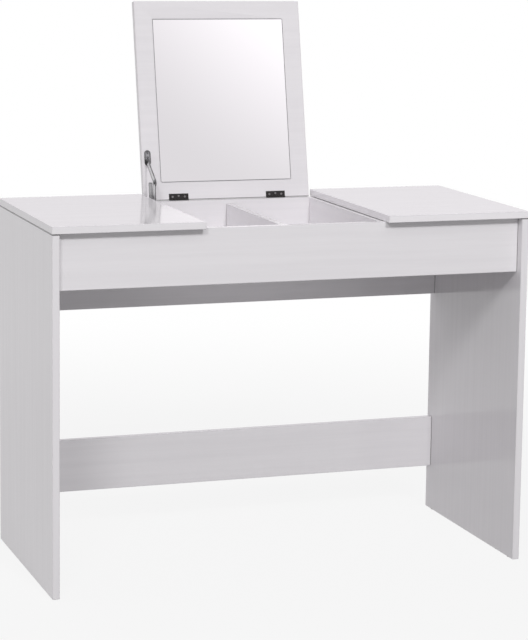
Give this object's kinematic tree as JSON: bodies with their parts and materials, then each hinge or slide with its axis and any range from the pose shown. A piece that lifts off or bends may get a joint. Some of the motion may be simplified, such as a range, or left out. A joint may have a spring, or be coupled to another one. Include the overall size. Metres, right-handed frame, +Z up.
{
  "type": "dressing table",
  "caption": "Dressing table with fixed side tops, a well between them, and a mirror lid that is hinged at the back and held open by a jointed stay.",
  "frame": {"origin": "on the ground, under the middle of the outline of the table with its lid open", "axes": "+X to the right seen from the front, +Y to the back, where the hinges are, +Z up"},
  "size_m": [1.02, 0.5662, 1.1638],
  "materials": {
    "laminate": "white satin laminate on particle board",
    "mirror_silver": "silvered mirror glass",
    "foam_tape": "matt foam tape",
    "hinge_steel": "dark plated steel",
    "zinc_plated_steel": "bright zinc plate",
    "black_steel": "blackened steel",
    "cam_zinc": "zinc die casting, as cast",
    "glide_plastic": "moulded plastic"
  },
  "bodies": {
    "frame": {"left_side_panel": "laminate", "right_side_panel": "laminate", "left_top": "laminate", "right_top": "laminate", "front_apron": "laminate", "rear_panel": "laminate", "rear_stretcher": "laminate", "left_partition": "laminate", "right_partition": "laminate", "well_floor": "laminate", "centre_divider": "laminate", "left_hinge_frame_leaf": "hinge_steel", "left_hinge_pin": "zinc_plated_steel", "left_frame_leaf_screw_1": "zinc_plated_steel", "left_frame_leaf_screw_2": "zinc_plated_steel", "left_frame_leaf_screw_3": "zinc_plated_steel", "right_hinge_frame_leaf": "hinge_steel", "right_hinge_pin": "zinc_plated_steel", "right_frame_leaf_screw_1": "zinc_plated_steel", "right_frame_leaf_screw_2": "zinc_plated_steel", "right_frame_leaf_screw_3": "zinc_plated_steel", "stay_case_bracket": "zinc_plated_steel", "stay_case_rivet": "black_steel", "stay_case_screw_1": "zinc_plated_steel", "stay_case_screw_2": "zinc_plated_steel", "left_front_top_cam": "cam_zinc", "left_rear_top_cam": "cam_zinc", "right_front_top_cam": "cam_zinc", "right_rear_top_cam": "cam_zinc", "left_apron_cam": "cam_zinc", "left_stretcher_cam": "cam_zinc", "left_upper_rear_cam": "cam_zinc", "left_lower_rear_cam": "cam_zinc", "right_apron_cam": "cam_zinc", "right_stretcher_cam": "cam_zinc", "right_upper_rear_cam": "cam_zinc", "right_lower_rear_cam": "cam_zinc", "left_front_glide": "glide_plastic", "left_rear_glide": "glide_plastic", "right_front_glide": "glide_plastic", "right_rear_glide": "glide_plastic"},
    "lid": {"mirror_lid": "laminate", "mirror_glass": "mirror_silver", "mirror_pad": "foam_tape", "left_hinge_lid_leaf": "hinge_steel", "left_lid_leaf_screw_1": "zinc_plated_steel", "left_lid_leaf_screw_2": "zinc_plated_steel", "left_lid_leaf_screw_3": "zinc_plated_steel", "right_hinge_lid_leaf": "hinge_steel", "right_lid_leaf_screw_1": "zinc_plated_steel", "right_lid_leaf_screw_2": "zinc_plated_steel", "right_lid_leaf_screw_3": "zinc_plated_steel", "stay_lid_bracket": "zinc_plated_steel", "stay_lid_rivet": "black_steel", "stay_lid_screw_1": "black_steel", "stay_lid_screw_2": "black_steel"},
    "stay_lower_strap": {"stay_lower_strap": "zinc_plated_steel", "stay_elbow_rivet": "black_steel"},
    "stay_upper_strap": {"stay_upper_strap": "zinc_plated_steel"}
  },
  "joints": [
    {"name": "lid_hinge", "type": "hinge", "parent": "frame", "child": "lid", "pos_m": [0, 0.17719, 0.7353], "axis": [1, 0, 0], "range_deg": [0, 102]},
    {"name": "stay_case_pivot", "type": "hinge", "parent": "frame", "child": "stay_lower_strap", "pos_m": [-0.18345, 0.11719, 0.6963], "axis": [1, 0, 0], "range_deg": [0, 102]},
    {"name": "stay_lid_pivot", "type": "hinge", "parent": "lid", "child": "stay_upper_strap", "pos_m": [-0.18165, 0.18516, 0.81948], "axis": [1, 0, 0], "range_deg": [-102, 0]}
  ],
  "couplings": [
    {"joint": "stay_case_pivot", "follows": "lid_hinge", "ratio": 1},
    {"joint": "stay_lid_pivot", "follows": "lid_hinge", "ratio": -1}
  ]
}
